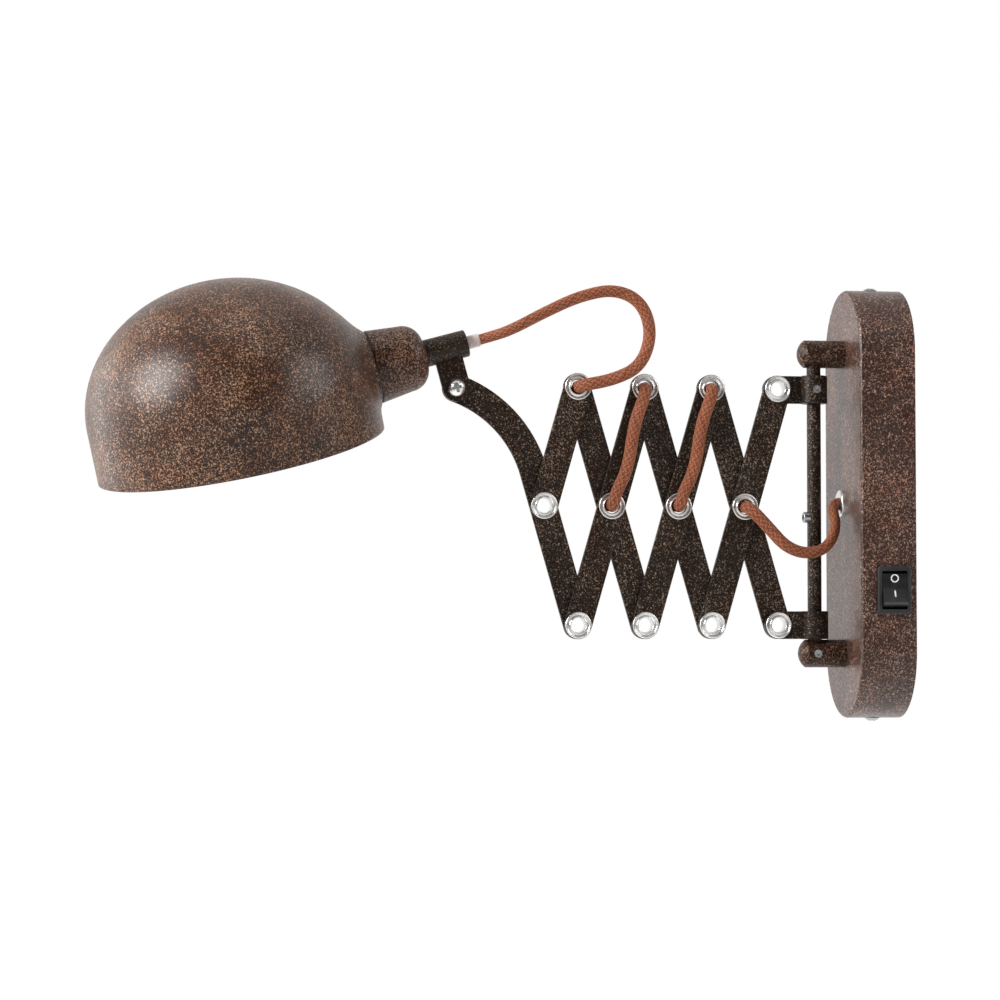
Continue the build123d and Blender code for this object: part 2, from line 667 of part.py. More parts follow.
def collar(z, lug_layer):
    """Sleeve on the rod with a flat lug out to the arm's pivot."""
    body = along_z(COLLAR_RADIUS, z - COLLAR_HEIGHT / 2, z + COLLAR_HEIGHT / 2, y=ROD_Y)
    body = fillet(body.edges().filter_by(GeomType.CIRCLE), SOFT_EDGE)
    outline = bar_outline((ARM_Y, z), (ROD_Y, z), ())
    outline -= Pos(ROD_Y + LINK_WIDTH / 2, z) * Rectangle(LINK_WIDTH, 2 * LINK_WIDTH)
    lug = extrude(arm_plane(lug_layer) * outline, LINK_THICKNESS)
    body += lug
    body -= along_x(PIVOT_HOLE, lug_layer - 1, lug_layer + LINK_THICKNESS + 1, ARM_Y, z)
    body -= along_z(ROD_RADIUS + RUNNING, z - COLLAR_HEIGHT, z + COLLAR_HEIGHT, y=ROD_Y)
    return body


def upper_collar():
    body = collar(UPPER_COLLAR_Z, BACK_LAYER)
    return body - along_x(SET_SCREW_RADIUS + FIT, 0, COLLAR_RADIUS + 1, ROD_Y, UPPER_COLLAR_Z)


# Head, built along its own axes and then tilted into place


def turned_along_tube(profile_points):
    """Turn a closed outline of (U, radius) points about the tube axis."""
    return Rot(0, 0, 90) * turned(profile_points)


def shade_dome(inset):
    """Dome over a straight skirt, turned about the shade's upright axis and pitched on the neck."""
    radius = SHADE_RADIUS - inset
    height = SHADE_DOME_HEIGHT - inset
    rim = RIM_W - (1 if inset else 0)
    crown = EllipticalCenterArc((0, SHADE_SHOULDER), radius, height, start_angle=0, arc_size=90)
    sides = Polyline((0, SHADE_SHOULDER + height), (0, rim), (radius, rim), (radius, SHADE_SHOULDER))
    half = make_face(Wire([*crown.edges(), *sides.edges()]))
    return Rot(-SHADE_PITCH, 0, 0) * Pos(0, SHADE_AXIS_U, 0) * Rot(90, 0, 0) * revolve(half, Axis.Y)


def shade_neck(inset):
    """Flare from the dome to the flat end that the cup sits on."""
    end = -inset
    flare_start = (NECK_FLARE_U, NECK_FLARE_RADIUS - inset)
    flare_end = (0, NECK_RADIUS - inset)
    flare = SagittaArc(flare_end, flare_start, NECK_FLARE_SAG)
    cut = Polyline(flare_start, (NECK_FLARE_U, 0), (0, 0), flare_end)
    flared = Rot(0, 0, 90) * turned_lines(flare, cut)
    reach = SHADE_RADIUS
    return flared & block(-reach, reach, -reach, end, RIM_W, reach)


def shade():
    body = shade_dome(0) + shade_neck(0)
    body -= shade_dome(SHADE_WALL)
    body -= shade_neck(SHADE_WALL)
    body -= along_y(HOLDER_RADIUS + EDGE, -2 * SHADE_WALL, 1)
    return Rot(0, SHADE_LEAN, 0) * body


def lampholder_body():
    tip = -HOLDER_REACH
    floor = tip + SOCKET_DEPTH + CONTACT_HEIGHT
    socket = SOCKET_BORE + SOCKET_SHELL_WALL + FIT
    thread = HOLDER_TAIL - NIPPLE_IN_HOLDER
    channel = CORD_DIAMETER / 2 + EDGE
    tail_chamfer = 3 * SOFT_EDGE
    return turned_along_tube([
        (tip, socket), (tip, HOLDER_RADIUS - SOFT_EDGE), (tip + SOFT_EDGE, HOLDER_RADIUS),
        (0, HOLDER_RADIUS), (0, HOLDER_FLANGE_RADIUS), (CUP_START, HOLDER_FLANGE_RADIUS),
        (CUP_START, HOLDER_RADIUS), (HOLDER_TAIL - tail_chamfer, HOLDER_RADIUS),
        (HOLDER_TAIL, HOLDER_RADIUS - tail_chamfer), (HOLDER_TAIL, NIPPLE_RADIUS + FIT),
        (thread, NIPPLE_RADIUS + FIT), (thread, channel), (floor, channel), (floor, socket),
    ])


def screw_shell():
    """Threaded metal shell that the lamp screws into, 14 mm across."""
    tip = -HOLDER_REACH + SOFT_EDGE
    end = tip + SOCKET_DEPTH - 1
    outer = SOCKET_BORE + SOCKET_SHELL_WALL
    return turned_along_tube([(tip, SOCKET_BORE), (tip, outer), (end, outer), (end, SOCKET_BORE)])


def centre_contact():
    """Contact disc at the socket's floor, on a stud through the body."""
    floor = -HOLDER_REACH + SOCKET_DEPTH + CONTACT_HEIGHT
    rim = CORD_DIAMETER / 2 + EDGE
    stud = rim - FIT
    return turned_along_tube([
        (floor - CONTACT_HEIGHT, 0), (floor - CONTACT_HEIGHT, CONTACT_RADIUS), (floor - 0.6, rim + 1),
        (floor, rim + 1), (floor, stud), (floor + 1.5, stud), (floor + 1.5, 0),
    ])


def shade_ring():
    """Ring that clamps the shade against the lampholder's flange."""
    inner = HOLDER_RADIUS + FIT
    end = -SHADE_WALL
    return turned_along_tube([
        (end, inner), (end, RING_RADIUS), (end - RING_LENGTH + SOFT_EDGE, RING_RADIUS),
        (end - RING_LENGTH, RING_RADIUS - SOFT_EDGE), (end - RING_LENGTH, inner),
    ])


def socket_cup():
    """Spun cup over the lampholder's tail, round at its closed end."""
    wall = CUP_WALL
    shoulder = CUP_START + CUP_STRAIGHT
    shoulder_radius = NECK_RADIUS - CUP_TAPER
    corner = CUP_LENGTH - CUP_STRAIGHT
    hub = shoulder_radius - corner
    bore = NIPPLE_RADIUS + FIT
    diagonal = corner * sqrt(0.5)
    inner_diagonal = (corner - wall) * sqrt(0.5)
    outline = [
        Line((CUP_START, NECK_RADIUS - wall), (CUP_START, NECK_RADIUS)),
        Line((CUP_START, NECK_RADIUS), (shoulder, shoulder_radius)),
        ThreePointArc(
            (shoulder, shoulder_radius), (shoulder + diagonal, hub + diagonal), (CUP_END, hub)
        ),
        Polyline((CUP_END, hub), (CUP_END, bore), (CUP_END - wall, bore), (CUP_END - wall, hub)),
        ThreePointArc(
            (CUP_END - wall, hub), (shoulder + inner_diagonal, hub + inner_diagonal),
            (shoulder, shoulder_radius - wall),
        ),
        Line((shoulder, shoulder_radius - wall), (CUP_START, NECK_RADIUS - wall)),
    ]
    return Rot(0, 0, 90) * turned_lines(*outline)


def nipple():
    """Threaded tube that joins lampholder, cup and knuckle and lets the cord through."""
    start = HOLDER_TAIL - NIPPLE_IN_HOLDER + FIT
    end = TUBE_START + NIPPLE_IN_TUBE
    return along_y(NIPPLE_RADIUS, start, end) - along_y(NIPPLE_BORE, start - 1, end + 1)


def nipple_nut():
    end = CUP_END - CUP_WALL - EDGE
    nut = hexagon_along_y(NIPPLE_NUT_WIDTH, end - NIPPLE_NUT_HEIGHT, end)
    return nut - along_y(NIPPLE_RADIUS + FIT, end - NIPPLE_NUT_HEIGHT - 1, end + 1)


def knuckle():
    """Tube behind the cup with a flat lug down to the head pivot."""
    tube = along_y(TUBE_RADIUS, TUBE_START, TUBE_END)
    tube = fillet(tube.edges().sort_by(Axis.Y)[-1], SOFT_EDGE)
    lug = Pos(PIVOT_U, -LUG_DROP) * Circle(LUG_WIDTH / 2)
    lug += Pos(PIVOT_U, -LUG_DROP / 2) * Rectangle(LUG_WIDTH, LUG_DROP)
    tube += extrude(arm_plane(FRONT_LAYER) * lug, LUG_THICKNESS)
    tube -= along_y(NIPPLE_RADIUS + FIT, TUBE_START - 1, TUBE_START + NIPPLE_IN_TUBE + FIT)
    tube -= along_y(SLEEVE_RADIUS + FIT, TUBE_START, TUBE_END + 1)
    tube -= along_x(KNUCKLE_SCREW_RADIUS + FIT, 0, COLLAR_RADIUS, PIVOT_U, -LUG_DROP)
    return tube


def knuckle_stack():
    """Stations along X behind the curved link: washer, then nut."""
    washer = -OUTER_FACE - FIT
    nut = washer - KNUCKLE_WASHER_THICKNESS
    return washer, nut, nut - KNUCKLE_NUT_HEIGHT


def knuckle_screw():
    seat = FRONT_LAYER + LUG_THICKNESS
    end = knuckle_stack()[2]
    screw = domed_head(KNUCKLE_HEAD_RADIUS, KNUCKLE_HEAD_HEIGHT, KNUCKLE_SCREW_RADIUS, seat - end)
    return Pos(seat, PIVOT_U, -LUG_DROP) * screw


def knuckle_washer():
    start, end, _ = knuckle_stack()
    washer = along_x(KNUCKLE_WASHER_RADIUS, end, start, PIVOT_U, -LUG_DROP)
    return washer - along_x(KNUCKLE_SCREW_RADIUS + FIT, end - 1, start + 1, PIVOT_U, -LUG_DROP)


def knuckle_nut():
    _, start, end = knuckle_stack()
    nut = hexagon_along_x(KNUCKLE_NUT_WIDTH, end, start, PIVOT_U, -LUG_DROP)
    return nut - along_x(KNUCKLE_SCREW_RADIUS + FIT, end - 1, start + 1, PIVOT_U, -LUG_DROP)


def cord_sleeve():
    """Clear sleeve on the cord where it leaves the knuckle."""
    start = TUBE_END - SLEEVE_INSIDE
    sleeve = along_y(SLEEVE_RADIUS, start, SLEEVE_END)
    return sleeve - along_y(CORD_DIAMETER / 2 + FIT, start - 1, SLEEVE_END + 1)


# Cord


def tube_along(name, points, diameter, exits=()):
    """Tube on straight runs joined by tangent arcs, each arc as large as its runs allow.

    exits lists the corners where the cord turns into an eyelet or the gland.
    """
    route = [Vector(*point) for point in points]
    radii = []
    for index in range(1, len(route) - 1):
        run_in = route[index] - route[index - 1]
        run_out = route[index + 1] - route[index]
        half_turn = tan(radians(run_in.get_angle(run_out) / 2))
        largest = 0.45 * min(run_in.length, run_out.length) / half_turn
        radii.append(CORD_EXIT_RADIUS if index in exits else largest)
    path = FilletPolyline(*route, radius=radii)
    section = Plane(origin=route[0], z_dir=route[1] - route[0]) * Circle(diameter / 2)
    tube = sweep(section, path=path)
    share = tube.volume / (section.area * path.length)
    print(name, "length", round(path.length, 1), "volume share", round(share, 4),
          "radii", [round(radius, 1) for radius in radii])
    return tube


def strand(name, start, end, side):
    """Stretch of cord from one eyelet to the next, in front of a link or behind it."""
    stand = side * (FLANGE_TOP + STRAND_CLEARANCE + CORD_DIAMETER / 2)
    points = [(0, *start), (stand, *start), (stand, *end), (0, *end)]
    return tube_along(name, points, CORD_DIAMETER, exits=(1, 2))


def beside(place, steps):
    """Route points given as (X, Y, Z) steps from a pivot's place."""
    return [(x, place[0] + y, place[1] + z) for x, y, z in steps]


def head_point(u, w):
    """Place of a point on the head's axes in the frame of the lamp, as (X, Y, Z)."""
    y = HEAD_ORIGIN[0] + u * cos(radians(HEAD_TILT)) - w * sin(radians(HEAD_TILT))
    z = HEAD_ORIGIN[1] + u * sin(radians(HEAD_TILT)) + w * cos(radians(HEAD_TILT))
    return 0, y, z


def cord_head_loop():
    """Free loop from the knuckle's sleeve over to the first eyelet."""
    points = [
        head_point(SLEEVE_END, 0),
        head_point(SLEEVE_END + CORD_LEAD, 0),
        *beside(TOP[1], [
            (1.5, -14.5, 35.0), (3.0, 0.5, 42.5), (5.0, 15.5, 45.0), (7.0, 28.0, 38.0),
            (8.5, 32.5, 24.0), (9.0, 26.0, 11.0), (9.0, 14.0, 4.0), (8.8, 0, 0), (0, 0, 0),
        ]),
    ]
    return tube_along("cord_head_loop", points, CORD_DIAMETER, exits=(9,))


def cord_wall_drape():
    """Free stretch from the last eyelet, down past the rod and up to the gland."""
    mouth = COVER_FACE - GLAND_PROUD
    points = [
        *beside(MIDDLE[4], [
            (0, 0, 0), (8.8, 0, 0), (9.6, 9.0, -10.0), (9.8, 16.5, -19.5), (9.2, 26.0, -22.8),
        ]),
        (7.6, ROD_Y + 2.6, -20.2),
        (4.6, ROD_Y + 6.2, -10.5),
        (0, mouth - 5.4, 0),
        (0, mouth, 0),
    ]
    return tube_along("cord_wall_drape", points, CORD_DIAMETER, exits=(1, 7))


def wall_wires():
    """Cores from the cord to the terminal block and the switch, and from the block to the switch."""
    (left, clamp_y), (right, _) = clamp_places()
    tab_low, tab_high = tab_heights()
    tab_tip = COVER_WIDTH / 2 - SWITCH_BODY_DEPTH - TAB_LENGTH
    tail = -CORD_TAIL_END
    turn_y = tail + 0.9 * WIRE_BEND
    switch_y = -SWITCH_FROM_WALL
    screw_z = BLOCK_RISE + BLOCK_HEIGHT / 2
    above_tab = 1.4 * WIRE_BEND
    neutral = [
        (-WIRE_SPREAD, tail, 0), (-WIRE_SPREAD, turn_y, 0),
        (-WIRE_SPREAD - 0.3 * WIRE_BEND, turn_y, WIRE_BEND),
        (left, clamp_y, 2 * WIRE_BEND), (left, clamp_y, screw_z),
    ]
    switched = [
        (WIRE_SPREAD, tail, 0), (WIRE_SPREAD, turn_y, 0), (WIRE_SPREAD, turn_y, -1.2 * WIRE_BEND),
        (0.6 * WIRE_BEND, switch_y, -4 * WIRE_BEND), (0.6 * WIRE_BEND, switch_y, tab_low + above_tab),
        (1.2 * WIRE_BEND, switch_y, tab_low), (tab_tip, switch_y, tab_low),
    ]
    beside_block = right + 0.4 * WIRE_BEND
    live = [
        (right, clamp_y, screw_z), (right, clamp_y, 1.6 * WIRE_BEND),
        (beside_block, switch_y, -2 * WIRE_BEND), (beside_block, switch_y, tab_high + above_tab),
        (tab_tip - 0.3 * WIRE_BEND, switch_y, tab_high), (tab_tip, switch_y, tab_high),
    ]
    return [
        tube_along("wire_neutral", neutral, WIRE_DIAMETER),
        tube_along("wire_switched", switched, WIRE_DIAMETER),
        tube_along("wire_live", live, WIRE_DIAMETER),
    ]


def cord_in_head():
    return along_y(CORD_DIAMETER / 2, HOLDER_TAIL - NIPPLE_IN_HOLDER + 1, SLEEVE_END)


def holder_wires():
    start = -HOLDER_REACH + SOCKET_DEPTH + CONTACT_HEIGHT + 1.5
    end = HOLDER_TAIL - NIPPLE_IN_HOLDER + 1
    return [along_y(WIRE_DIAMETER / 2, start, end, x=side * WIRE_SPREAD) for side in (-1, 1)]


# Wall side
save("wall_cover", wall_cover())
save("wall_strap", wall_strap())
save("cover_screws", *cover_screws())
save("post_upper", post(1))
save("post_lower", post(-1))
save("post_bolts", *post_bolts())
save("pivot_rod", pivot_rod())
save("rod_set_screw", set_screw(-POST_SPACING / 2, POST_RADIUS))
save("stop_screw", stop_screw())
save("cord_gland", cord_gland())
save("gland_nut", gland_nut())
save("cord_grip", cord_grip())
save("cord_tail", along_y(CORD_DIAMETER / 2, COVER_FACE - GLAND_PROUD, -CORD_TAIL_END))
save("switch_housing", switch_housing())
save("switch_rocker", switch_rocker())
save("switch_terminals", *switch_terminals())
save("terminal_block", terminal_block())
save("terminal_clamps", *terminal_clamps())
save("terminal_screws", *terminal_screws())
save("earth_screw", earth_screw())
save("wall_wires", *wall_wires())

# Arm
save("collar_lower", collar(LOWER_COLLAR_Z, FRONT_LAYER))
save("collar_upper", upper_collar())
save("collar_set_screw", set_screw(UPPER_COLLAR_Z, COLLAR_RADIUS))
save("eyelet_lower", eyelet(BOTTOM[4]))
save("curved_link", curved_link())
save("link_front_1", front_link(1))
save("eyelets_front_1", eyelet(MIDDLE[1]), eyelet(TOP[1]))
for row in (2, 3, 4):
    save(f"link_front_{row}", front_link(row))
    save(f"link_back_{row}", back_link(row))
    save(f"eyelets_front_{row}", eyelet(BOTTOM[row - 1]), eyelet(MIDDLE[row]), eyelet(TOP[row]))
    save(f"cord_back_{row}", strand(f"cord_back_{row}", TOP[row - 1], MIDDLE[row], -1))
for row in (2, 3):
    save(f"cord_front_{row}", strand(f"cord_front_{row}", MIDDLE[row], TOP[row], 1))
save("cord_head_loop", cord_head_loop())
save("cord_wall_drape", cord_wall_drape())

# Head
save("shade", HEAD_PLACE * shade())
save("shade_ring", HEAD_PLACE * shade_ring())
save("lampholder_body", HEAD_PLACE * lampholder_body())
save("screw_shell", HEAD_PLACE * screw_shell())
save("centre_contact", HEAD_PLACE * centre_contact())
save("socket_cup", HEAD_PLACE * socket_cup())
save("nipple", HEAD_PLACE * nipple())
save("nipple_nut", HEAD_PLACE * nipple_nut())
save("knuckle", HEAD_PLACE * knuckle())
save("knuckle_screw", HEAD_PLACE * knuckle_screw())
save("knuckle_washer", HEAD_PLACE * knuckle_washer())
save("knuckle_nut", HEAD_PLACE * knuckle_nut())
save("cord_sleeve", HEAD_PLACE * cord_sleeve())
save("cord_in_head", HEAD_PLACE * cord_in_head())
save("holder_wires", *[HEAD_PLACE * wire for wire in holder_wires()])
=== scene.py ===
import json
from math import cos, floor, hypot, pi, radians, sin
import bmesh
import bpy
from mathutils import Matrix, Vector


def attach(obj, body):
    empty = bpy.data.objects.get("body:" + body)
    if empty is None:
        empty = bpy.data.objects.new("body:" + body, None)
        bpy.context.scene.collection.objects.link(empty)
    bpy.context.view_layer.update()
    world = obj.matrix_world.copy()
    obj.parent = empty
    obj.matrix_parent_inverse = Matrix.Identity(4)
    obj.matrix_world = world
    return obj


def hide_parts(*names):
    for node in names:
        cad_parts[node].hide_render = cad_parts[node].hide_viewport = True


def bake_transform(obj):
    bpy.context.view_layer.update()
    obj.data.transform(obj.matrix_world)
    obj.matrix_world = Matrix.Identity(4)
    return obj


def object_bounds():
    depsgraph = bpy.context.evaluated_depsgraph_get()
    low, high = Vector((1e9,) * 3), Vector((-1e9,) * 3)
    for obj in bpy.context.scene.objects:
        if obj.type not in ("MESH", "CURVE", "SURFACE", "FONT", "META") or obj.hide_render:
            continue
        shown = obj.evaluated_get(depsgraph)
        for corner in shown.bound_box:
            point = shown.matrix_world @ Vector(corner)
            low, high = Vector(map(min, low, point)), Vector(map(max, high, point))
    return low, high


# Adjustable scissor-arm wall lamp: finishes, braided cord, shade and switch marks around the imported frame.
# Metres. The wall is the plane Y = 0, the lamp stands out towards -Y and Z is up.

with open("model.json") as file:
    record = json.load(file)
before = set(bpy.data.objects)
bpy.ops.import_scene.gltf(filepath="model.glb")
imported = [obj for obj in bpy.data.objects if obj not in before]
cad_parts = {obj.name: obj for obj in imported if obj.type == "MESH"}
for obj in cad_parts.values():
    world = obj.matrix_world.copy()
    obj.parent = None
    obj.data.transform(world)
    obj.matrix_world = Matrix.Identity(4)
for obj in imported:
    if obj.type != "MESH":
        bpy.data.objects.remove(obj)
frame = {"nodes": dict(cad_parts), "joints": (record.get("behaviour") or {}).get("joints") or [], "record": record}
cad_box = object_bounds()
pivot = {joint["name"]: Vector(joint["pos_m"]) for joint in frame["joints"]}

# Head, along its own tube line: X, U towards the wall, W up
HEAD_TILT = radians(15.2)
HEAD_ORIGIN = Vector((0, -0.23888, 0.05888))
SHADE_LEAN = radians(11.7)
SHADE_PITCH = radians(2.6)
SHADE_RADIUS = 0.0638
SHADE_DOME_HEIGHT = 0.0548
SHADE_SHOULDER = -0.0030
SHADE_RIM = -0.0258
SHADE_AXIS_U = -0.06395
SHADE_WALL = 0.0010
NECK_RADIUS = 0.0164
NECK_FLARE_RADIUS = 0.0250
NECK_FLARE_LENGTH = 0.0085
NECK_FLARE_SAG = 0.0006
NECK_BLEND = 0.0035
NECK_FOOT_U = -0.0450
NECK_TOP_U = 0.0040
NECK_LONGEST_SHARE = 1.5
NECK_HOLE = 0.01225
SLEEVE_MOUTH = 0.0494

# Shade mesh: it is made a little too deep and then cut at the rim
RIM_SPARE = 0.006
SHADE_FARTHEST = 0.16
SURFACE_HALVINGS = 26
SHADE_MERIDIANS = 160
SHADE_RINGS = 96

# Cord, a flat twin flex in a braid
CORD_WIDTH = 0.0056
CORD_HEIGHT = 0.0046
CORD_SIDES = 96
CORD_STEP = 0.00026
ROUTE_RESOLUTION = 40
BRAID_STRANDS = 22
BRAID_LAY = 0.0011
BRAID_RELIEF = 0.00013
# Share of the yarn colour left in the painted shade between strands
BRAID_GAP_SHADE = 0.10
BRAID_TONE_STEP = 0.618 * 7
GLAND_MOUTH_Y = -0.0272
ROD_Y = -0.0384
STRETCH_SPLIT = 0.5

# Strands from eyelet to eyelet: how far they stand out, and where along their way and how much they bow
STRAND_STAND = 0.0062
STRAND_BOW_AT = 0.32
STRAND_RETURN_AT = 0.68
STRAND_START_DIP = 0.25
STRAND_RETURN_DIP = 0.5
STRAND_ROLLS = (0.6, 1.4)
BACK_BOW = 0.0008
FRONT_BOW = -0.0018

# Switch marks
MARK_RAISE = 0.00006
ROCKER_FACE = 0.00394
ROCKER_RIDGE = 0.00069
ROCKER_LOWER_SLOPE = radians(20)
OFF_MARK_RISE = 0.0052
OFF_MARK_INNER = 0.0013
OFF_MARK_OUTER = 0.00185
OFF_MARK_SEGMENTS = 48
ON_MARK_DROP = 0.0024
ON_MARK_WIDTH = 0.00065
ON_MARK_HEIGHT = 0.0030

# Finishes: grain in metres, scales per metre, and the range that holds most of a noise
SHADE_GRAIN = 0.00072
ARM_GRAIN = 0.00066
FRINGE_SHARE = 0.3
PATCH_SCALE = 42
PATCH_DRIFT = 0.18
RUST_SCALE = 75
NOISE_LOW = 0.3
NOISE_HIGH = 0.7

# Camera, at the photograph's place
CAMERA_TARGET = Vector((0, -0.18171, 0.00072))
CAMERA_AZIMUTH = radians(81.5)
CAMERA_ELEVATION = radians(-2.411)
CAMERA_DISTANCE = 1.2224
CAMERA_LENS = 99.21
SENSOR_WIDTH = 36.0

# Floor, far enough down for a view from below
FLOOR_Z = -1.40
FLOOR_REACH = 14
FLOOR_GLOW = 0.62


# Node helpers


def new_material(name):
    material = bpy.data.materials.new(name)
    material.use_nodes = True
    tree = material.node_tree
    return material, tree, tree.nodes["Principled BSDF"]


def wire_up(tree, node, inputs):
    """Set a node's inputs. An input is a number, a colour or another node's output."""
    for name, value in inputs.items():
        if isinstance(value, bpy.types.NodeSocket):
            tree.links.new(value, node.inputs[name])
        else:
            node.inputs[name].default_value = value


def shader_node(tree, kind, inputs, **settings):
    node = tree.nodes.new(kind)
    for name, value in settings.items():
        setattr(node, name, value)
    wire_up(tree, node, inputs)
    return node


def object_place(tree):
    return shader_node(tree, "ShaderNodeTexCoord", {}).outputs["Object"]


def noise(tree, place, scale, detail=2.0, roughness=0.5, distortion=0.0):
    node = shader_node(tree, "ShaderNodeTexNoise", {
        "Vector": place, "Scale": scale, "Detail": detail, "Roughness": roughness, "Distortion": distortion,
    })
    return node.outputs[0]


def calculated(tree, operation, first, second):
    node = shader_node(tree, "ShaderNodeMath", {0: first, 1: second}, operation=operation)
    return node.outputs[0]


def ramp(tree, factor, stops):
    """Colour ramp through (position, colour) stops."""
    node = shader_node(tree, "ShaderNodeValToRGB", {"Fac": factor})
    elements = node.color_ramp.elements
    while len(elements) < len(stops):
        elements.new(0.5)
    for element, (position, colour) in zip(elements, stops):
        element.position = position
        element.color = (*colour, 1)
    return node.outputs["Color"]


def two_tone(tree, factor, low, high):
    """Colour from low to high over a noise's middle range."""
    return ramp(tree, factor, [(NOISE_LOW, low), (NOISE_HIGH, high)])


def spread(tree, factor, low, high):
    """Number from low to high over a noise's middle range."""
    node = shader_node(tree, "ShaderNodeMapRange", {
        "Value": factor, "From Min": NOISE_LOW, "From Max": NOISE_HIGH, "To Min": low, "To Max": high,
    })
    return node.outputs["Result"]


def blend_colours(tree, factor, first, second):
    node = shader_node(tree, "ShaderNodeMix", {0: factor, 6: first, 7: second}, data_type="RGBA")
    return node.outputs[2]


def relief(tree, height, strength, distance):
    node = shader_node(tree, "ShaderNodeBump", {"Height": height, "Strength": strength, "Distance": distance})
    return node.outputs["Normal"]


# Materials


def fleck_enamel(name, grain, ground, fleck, glint, threshold, lacquer):
    """Baked enamel full of small copper flecks. The threshold sets how much ground shows."""
    material, tree, shader = new_material(name)
    place = object_place(tree)
    grit = noise(tree, place, 1 / grain, roughness=0.55, distortion=0.9)
    patches = noise(tree, place, PATCH_SCALE, detail=3.0, roughness=0.6)
    drift = calculated(tree, "MULTIPLY", calculated(tree, "SUBTRACT", patches, 0.5), PATCH_DRIFT)
    level = calculated(tree, "ADD", grit, drift)
    fringe = [(1 - FRINGE_SHARE) * g + FRINGE_SHARE * f for g, f in zip(ground, fleck)]
    colour = ramp(tree, level, [
        (threshold - 0.06, ground), (threshold, fringe),
        (threshold + 0.05, fleck), (threshold + 0.13, glint),
    ])
    rust = noise(tree, place, RUST_SCALE)
    rusty = shader_node(tree, "ShaderNodeHueSaturation", {
        "Hue": 0.490, "Saturation": 1.30, "Value": 0.90, "Fac": 1.0, "Color": colour,
    }).outputs["Color"]
    colour = blend_colours(tree, spread(tree, rust, 0.0, 1.0), colour, rusty)
    wire_up(tree, shader, {
        "Base Color": colour, "Roughness": spread(tree, grit, 0.47, 0.35), "Specular IOR Level": 0.15,
        "Coat Weight": lacquer, "Coat Roughness": 0.34,
        "Normal": relief(tree, grit, 0.25, 0.0002),
    })
    return material


def bright_plate(name, colour, low, high):
    """Plated metal with fine rubbing marks."""
    material, tree, shader = new_material(name)
    place = object_place(tree)
    marks = noise(tree, place, 2600)
    haze = noise(tree, place, 220, detail=3.0, roughness=0.6)
    dark = [0.82 * c for c in colour]
    wire_up(tree, shader, {
        "Base Color": ramp(tree, haze, [(0.35, dark), (0.65, colour)]), "Metallic": 1.0,
        "Roughness": spread(tree, haze, low, high), "Normal": relief(tree, marks, 0.04, 0.00005),
    })
    return material


def moulded_plastic(name, colour, low, high):
    material, tree, shader = new_material(name)
    place = object_place(tree)
    texture = noise(tree, place, 3800, roughness=0.6)
    cloud = noise(tree, place, 120)
    light = [min(1.0, 1.18 * c + 0.003) for c in colour]
    wire_up(tree, shader, {
        "Base Color": two_tone(tree, cloud, colour, light),
        "Roughness": spread(tree, cloud, low, high), "Normal": relief(tree, texture, 0.10, 0.00006),
    })
    return material


def braid_cloth(name):
    """Copper-brown braid with painted shade between its strands, each strand a little different."""
    material, tree, shader = new_material(name)
    braid_gap_shade = shader_node(tree, "ShaderNodeAttribute", {}, attribute_name="braid_gap_shade").outputs["Fac"]
    tone = shader_node(tree, "ShaderNodeAttribute", {}, attribute_name="tone").outputs["Fac"]
    fibre = noise(tree, object_place(tree), 5200, roughness=0.6)
    yarn = ramp(tree, tone, [
        (0.0, (0.100, 0.023, 0.009)), (0.5, (0.240, 0.067, 0.027)), (1.0, (0.440, 0.155, 0.070)),
    ])
    # Painted shade: the yarn colour turns near black in the gaps between strands.
    shaded = blend_colours(tree, braid_gap_shade, (0.030, 0.008, 0.004, 1), yarn)
    wire_up(tree, shader, {
        "Base Color": shaded, "Roughness": spread(tree, fibre, 0.86, 0.66), "Specular IOR Level": 0.3,
        "Sheen Weight": 0.25, "Sheen Roughness": 0.45, "Sheen Tint": (0.90, 0.50, 0.30, 1),
        "Normal": relief(tree, fibre, 0.25, 0.0001),
    })
    return material


def clear_sleeving(name):
    material, tree, shader = new_material(name)
    haze = noise(tree, object_place(tree), 600)
    wire_up(tree, shader, {
        "Base Color": two_tone(tree, haze, (0.48, 0.38, 0.35), (0.64, 0.54, 0.50)),
        "Roughness": spread(tree, haze, 0.42, 0.26), "Alpha": 0.55, "IOR": 1.45,
    })
    return material


def white_enamel(name):
    material, tree, shader = new_material(name)
    place = object_place(tree)
    peel = noise(tree, place, 900)
    cloud = noise(tree, place, 30)
    wire_up(tree, shader, {
        "Base Color": two_tone(tree, cloud, (0.80, 0.77, 0.71), (0.86, 0.84, 0.79)),
        "Roughness": spread(tree, cloud, 0.34, 0.44), "Normal": relief(tree, peel, 0.08, 0.0001),
    })
    return material


def printed_white(name):
    material, tree, shader = new_material(name)
    ink = noise(tree, object_place(tree), 4000, roughness=0.6)
    wire_up(tree, shader, {
        "Base Color": two_tone(tree, ink, (0.50, 0.50, 0.49), (0.62, 0.62, 0.61)), "Roughness": 0.5,
    })
    return material


shade_enamel = fleck_enamel(
    "shade_enamel", SHADE_GRAIN, (0.009, 0.0030, 0.0010), (0.064, 0.033, 0.019), (0.300, 0.188, 0.125),
    threshold=0.505, lacquer=0.26,
)
cup_enamel = fleck_enamel(
    "cup_enamel", SHADE_GRAIN, (0.010, 0.0035, 0.0013), (0.050, 0.027, 0.017), (0.200, 0.128, 0.092),
    threshold=0.50, lacquer=0.06,
)
plate_enamel = fleck_enamel(
    "plate_enamel", SHADE_GRAIN, (0.015, 0.0062, 0.0037), (0.072, 0.040, 0.028), (0.330, 0.210, 0.158),
    threshold=0.52, lacquer=0.50,
)
arm_enamel = fleck_enamel(
    "arm_enamel", ARM_GRAIN, (0.0085, 0.0048, 0.0026), (0.034, 0.023, 0.016), (0.245, 0.188, 0.148),
    threshold=0.54, lacquer=0.04,
)
